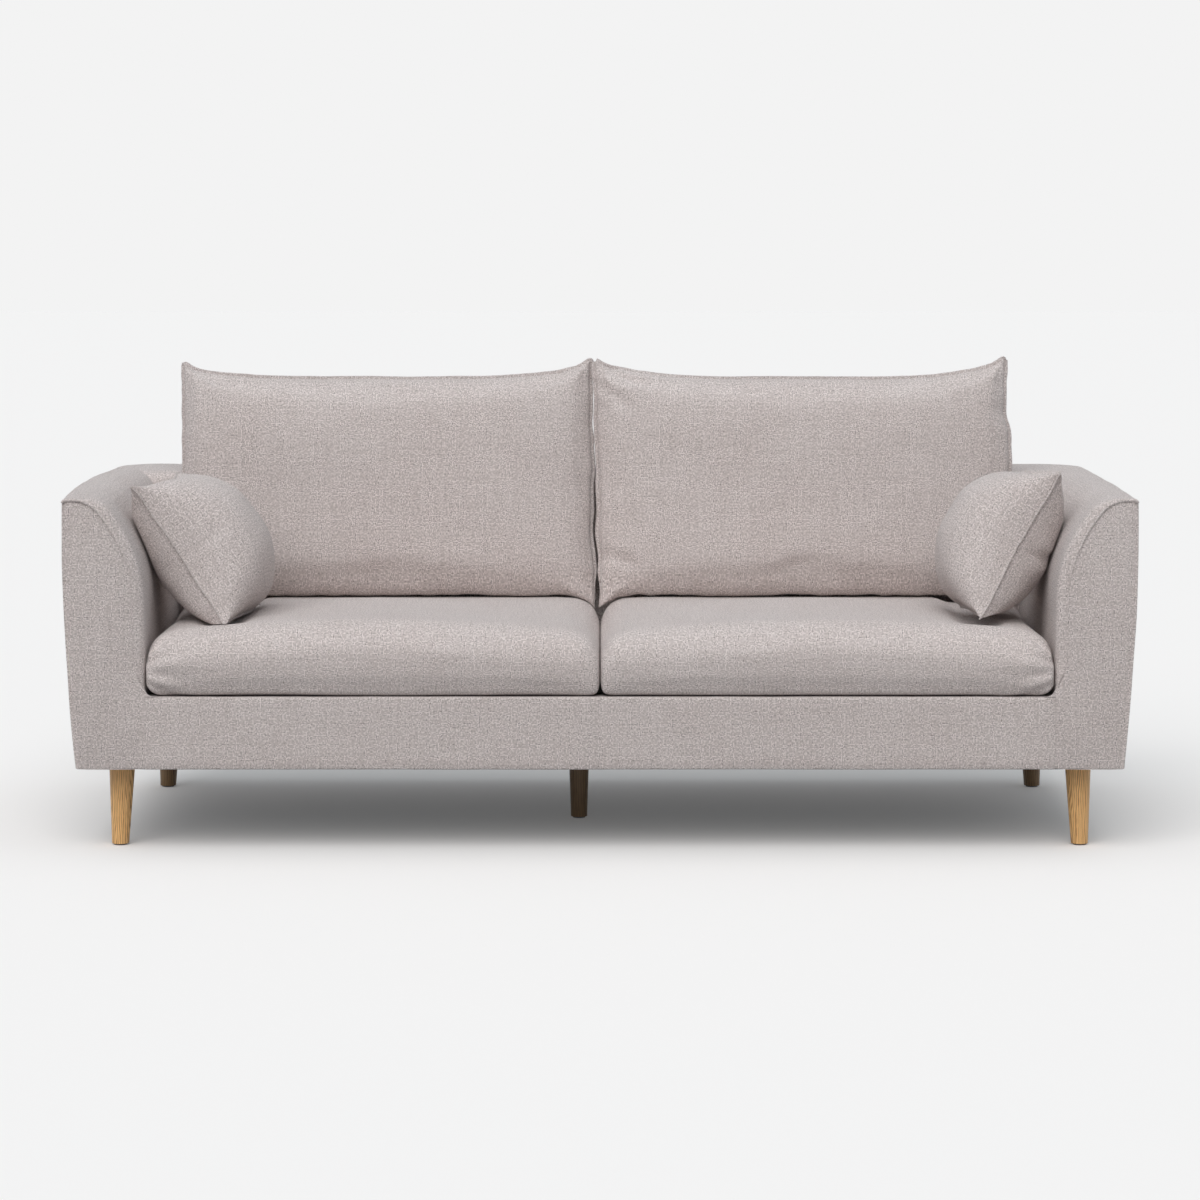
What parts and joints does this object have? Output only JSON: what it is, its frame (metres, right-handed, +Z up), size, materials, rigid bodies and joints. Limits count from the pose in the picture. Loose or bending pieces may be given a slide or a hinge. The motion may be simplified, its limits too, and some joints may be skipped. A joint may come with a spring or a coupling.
{
  "type": "sofa",
  "caption": "Upholstered sofa with loose seat, back and scatter cushions on tapered oak legs.",
  "frame": {"origin": "on the floor, under the middle of the sofa", "axes": "+X to the right seen from the front, -Y to the front, +Z up"},
  "size_m": [2.1238, 0.92, 0.9405],
  "materials": {
    "upholstery_fabric": "matte",
    "cushion_fabric": "matte",
    "foam": "matte",
    "fibre_fill": "matte",
    "webbing": "matte",
    "deck_cloth": "matte",
    "dust_cloth": "matte",
    "oak": "satin",
    "glide_plastic": "matte",
    "zinc_steel": "satin",
    "plywood": "matte",
    "frame_timber": "matte"
  },
  "bodies": {
    "frame": {"front_rail": "frame_timber", "rear_rail": "frame_timber", "seat_rear_rail": "frame_timber", "side_rail_left": "frame_timber", "side_rail_right": "frame_timber", "centre_rail": "frame_timber", "corner_blocks": "frame_timber", "arm_front_board_left": "plywood", "arm_front_board_right": "plywood", "arm_rear_board_left": "plywood", "arm_rear_board_right": "plywood", "arm_top_rail_left": "frame_timber", "arm_top_rail_right": "frame_timber", "back_board_left": "plywood", "back_board_centre": "plywood", "back_board_right": "plywood", "back_top_rail": "frame_timber", "seat_webbing": "webbing", "seat_cross_webbing": "webbing", "back_webbing": "webbing", "arm_padding_left": "foam", "arm_padding_right": "foam", "back_padding": "foam", "front_padding": "foam", "arm_cover_left": "upholstery_fabric", "arm_cover_right": "upholstery_fabric", "arm_facing_left": "upholstery_fabric", "arm_facing_right": "upholstery_fabric", "arm_outer_panel_left": "upholstery_fabric", "arm_outer_panel_right": "upholstery_fabric", "arm_welt_left": "upholstery_fabric", "arm_welt_right": "upholstery_fabric", "back_cover": "upholstery_fabric", "back_outer_panel": "upholstery_fabric", "front_border": "upholstery_fabric", "deck_cloth": "deck_cloth", "dust_cover": "dust_cloth", "front_leg_left": "oak", "front_leg_right": "oak", "rear_leg_left": "oak", "rear_leg_right": "oak", "centre_leg": "oak", "leg_glides": "glide_plastic", "leg_plates": "zinc_steel", "leg_bolts": "zinc_steel", "plate_screws": "zinc_steel"},
    "seat_cushion_left": {"seat_cushion_cover_left": "cushion_fabric", "seat_cushion_foam_left": "foam"},
    "seat_cushion_right": {"seat_cushion_cover_right": "cushion_fabric", "seat_cushion_foam_right": "foam"},
    "back_cushion_left": {"back_cushion_cover_left": "cushion_fabric", "back_cushion_fill_left": "fibre_fill"},
    "back_cushion_right": {"back_cushion_cover_right": "cushion_fabric", "back_cushion_fill_right": "fibre_fill"},
    "scatter_cushion_left": {"pillow_cover_left": "cushion_fabric", "pillow_fill_left": "fibre_fill"},
    "scatter_cushion_right": {"pillow_cover_right": "cushion_fabric", "pillow_fill_right": "fibre_fill"}
  },
  "joints": [
    {"name": "seat_cushion_left_pull", "type": "slide", "parent": "frame", "child": "seat_cushion_left", "axis": [0, -1, 0], "range_m": [0, 0.3]},
    {"name": "back_cushion_left_lift", "type": "slide", "parent": "frame", "child": "back_cushion_left", "axis": [0, 0.1564, 0.9877], "range_m": [0, 0.3]},
    {"name": "scatter_cushion_left_lift", "type": "slide", "parent": "frame", "child": "scatter_cushion_left", "axis": [0, 0, 1], "range_m": [0, 0.25]},
    {"name": "seat_cushion_right_pull", "type": "slide", "parent": "frame", "child": "seat_cushion_right", "axis": [0, -1, 0], "range_m": [0, 0.3]},
    {"name": "back_cushion_right_lift", "type": "slide", "parent": "frame", "child": "back_cushion_right", "axis": [0, 0.1564, 0.9877], "range_m": [0, 0.3]},
    {"name": "scatter_cushion_right_lift", "type": "slide", "parent": "frame", "child": "scatter_cushion_right", "axis": [0, 0, 1], "range_m": [0, 0.25]}
  ]
}
